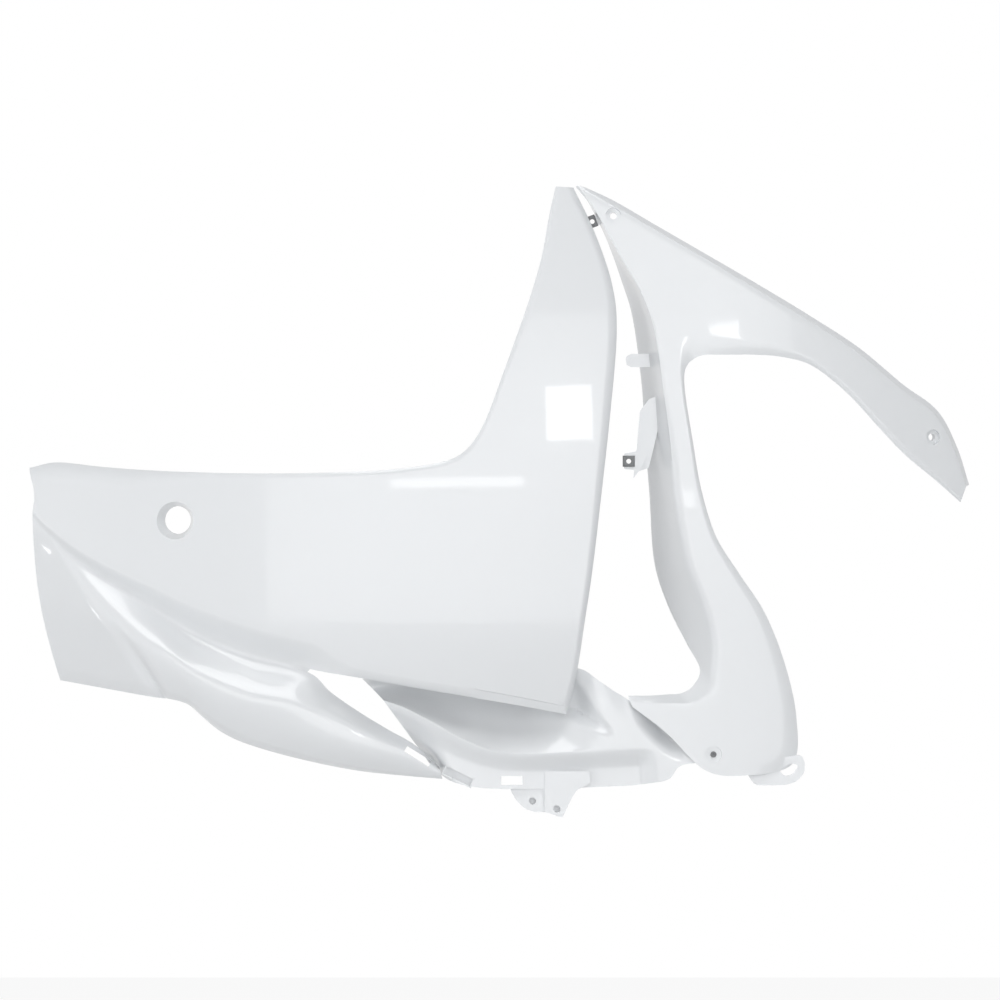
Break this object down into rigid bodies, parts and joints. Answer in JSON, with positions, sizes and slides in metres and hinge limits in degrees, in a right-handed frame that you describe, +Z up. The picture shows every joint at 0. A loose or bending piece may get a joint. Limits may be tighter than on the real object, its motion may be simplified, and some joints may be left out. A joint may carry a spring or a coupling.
{
  "type": "motorcycle fairing",
  "caption": "Glossy white right-hand motorcycle side fairing: a side panel with a lower blade, an inner duct panel, and a front panel with arm and leg.",
  "frame": {"origin": "on the axis of the large rear bore, inside its collar, 12 mm behind the outer face", "axes": "+X toward the front of the bike, +Z up, outer face toward -Y"},
  "size_m": [0.85, 0.1268, 0.57],
  "materials": {
    "white_plastic": "glossy",
    "dark_steel": "satin"
  },
  "bodies": {
    "root": {"outer_panel": "white_plastic", "duct_panel": "white_plastic", "front_panel": "white_plastic", "top_clip": "dark_steel", "leg_clip": "dark_steel", "foot_screw": "dark_steel"}
  },
  "joints": []
}
